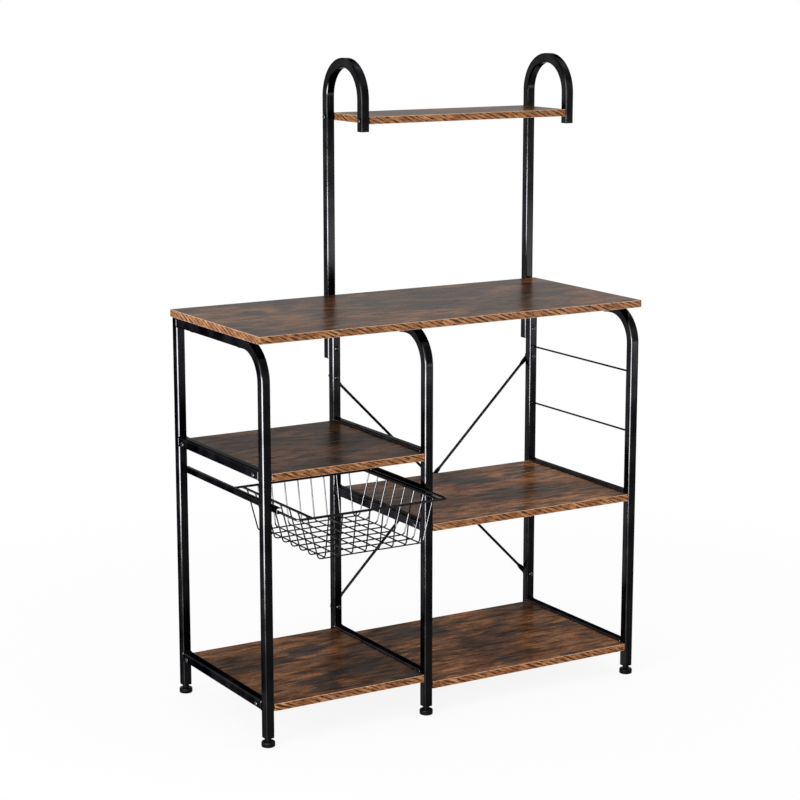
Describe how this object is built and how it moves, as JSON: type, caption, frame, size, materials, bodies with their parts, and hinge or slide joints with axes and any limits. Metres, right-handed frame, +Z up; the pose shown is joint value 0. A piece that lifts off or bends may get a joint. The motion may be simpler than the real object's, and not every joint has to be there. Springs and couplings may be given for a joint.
{
  "type": "microwave stand",
  "caption": "Open kitchen stand on square tube frames: worktop, staggered shelves, a sliding wire basket, a braced microwave bay and a small hutch shelf between hooked posts.",
  "frame": {"origin": "on the floor, under the middle of the worktop", "axes": "+X along the worktop from the basket side to the microwave side, +Y to the back, +Z up"},
  "size_m": [0.9, 0.5171, 1.318],
  "materials": {
    "black_enamel": "gloss",
    "brown_laminate": "satin",
    "black_zinc": "gloss",
    "black_plastic": "matte"
  },
  "bodies": {
    "stand": {"left_bent_leg": "black_enamel", "left_back_leg": "black_enamel", "centre_bent_leg": "black_enamel", "centre_back_leg": "black_enamel", "right_bent_leg": "black_enamel", "right_back_leg": "black_enamel", "left_shelf_rail": "black_enamel", "left_floor_rail": "black_enamel", "centre_left_shelf_rail": "black_enamel", "centre_right_shelf_rail": "black_enamel", "centre_floor_rail": "black_enamel", "right_shelf_rail": "black_enamel", "right_floor_rail": "black_enamel", "right_side_rod_upper": "black_enamel", "right_side_rod_lower": "black_enamel", "centre_floor_angle": "black_enamel", "hutch_post_left": "black_enamel", "hutch_post_right": "black_enamel", "left_basket_runner": "black_enamel", "centre_basket_runner": "black_enamel", "brace_rod_front": "black_enamel", "brace_rod_rear": "black_enamel", "worktop": "brown_laminate", "left_shelf": "brown_laminate", "right_shelf": "brown_laminate", "left_floor_board": "brown_laminate", "right_floor_board": "brown_laminate", "hutch_shelf": "brown_laminate", "left_shelf_bolt_back": "black_zinc", "left_shelf_bolt_front": "black_zinc", "left_floor_bolt_back": "black_zinc", "left_floor_bolt_front": "black_zinc", "right_shelf_bolt_back": "black_zinc", "right_shelf_bolt_front": "black_zinc", "hutch_shelf_bolt_back": "black_zinc", "hutch_shelf_bolt_front": "black_zinc", "post_bolt_centre_lower": "black_zinc", "post_bolt_centre_upper": "black_zinc", "post_bolt_right_lower": "black_zinc", "post_bolt_right_upper": "black_zinc", "brace_bolt_centre_lower": "black_zinc", "brace_bolt_centre_upper": "black_zinc", "brace_bolt_right_lower": "black_zinc", "brace_bolt_right_upper": "black_zinc", "brace_centre_bolt": "black_zinc", "brace_centre_nut": "black_zinc", "plug_left_front": "black_plastic", "plug_left_back": "black_plastic", "plug_centre_front": "black_plastic", "plug_centre_back": "black_plastic", "plug_right_front": "black_plastic", "plug_right_back": "black_plastic"},
    "basket": {"basket": "black_enamel"},
    "foot_left_front": {"foot_left_front": "black_plastic"},
    "foot_left_back": {"foot_left_back": "black_plastic"},
    "foot_centre_front": {"foot_centre_front": "black_plastic"},
    "foot_centre_back": {"foot_centre_back": "black_plastic"},
    "foot_right_front": {"foot_right_front": "black_plastic"},
    "foot_right_back": {"foot_right_back": "black_plastic"}
  },
  "joints": [
    {"name": "basket_slide", "type": "slide", "parent": "stand", "child": "basket", "axis": [0, -1, 0], "range_m": [-0.094, 0.1]},
    {"name": "foot_height_left_front", "type": "slide", "parent": "stand", "child": "foot_left_front", "axis": [0, 0, -1], "range_m": [0, 0.012]},
    {"name": "foot_height_left_back", "type": "slide", "parent": "stand", "child": "foot_left_back", "axis": [0, 0, -1], "range_m": [0, 0.012]},
    {"name": "foot_height_centre_front", "type": "slide", "parent": "stand", "child": "foot_centre_front", "axis": [0, 0, -1], "range_m": [0, 0.012]},
    {"name": "foot_height_centre_back", "type": "slide", "parent": "stand", "child": "foot_centre_back", "axis": [0, 0, -1], "range_m": [0, 0.012]},
    {"name": "foot_height_right_front", "type": "slide", "parent": "stand", "child": "foot_right_front", "axis": [0, 0, -1], "range_m": [0, 0.012]},
    {"name": "foot_height_right_back", "type": "slide", "parent": "stand", "child": "foot_right_back", "axis": [0, 0, -1], "range_m": [0, 0.012]}
  ]
}
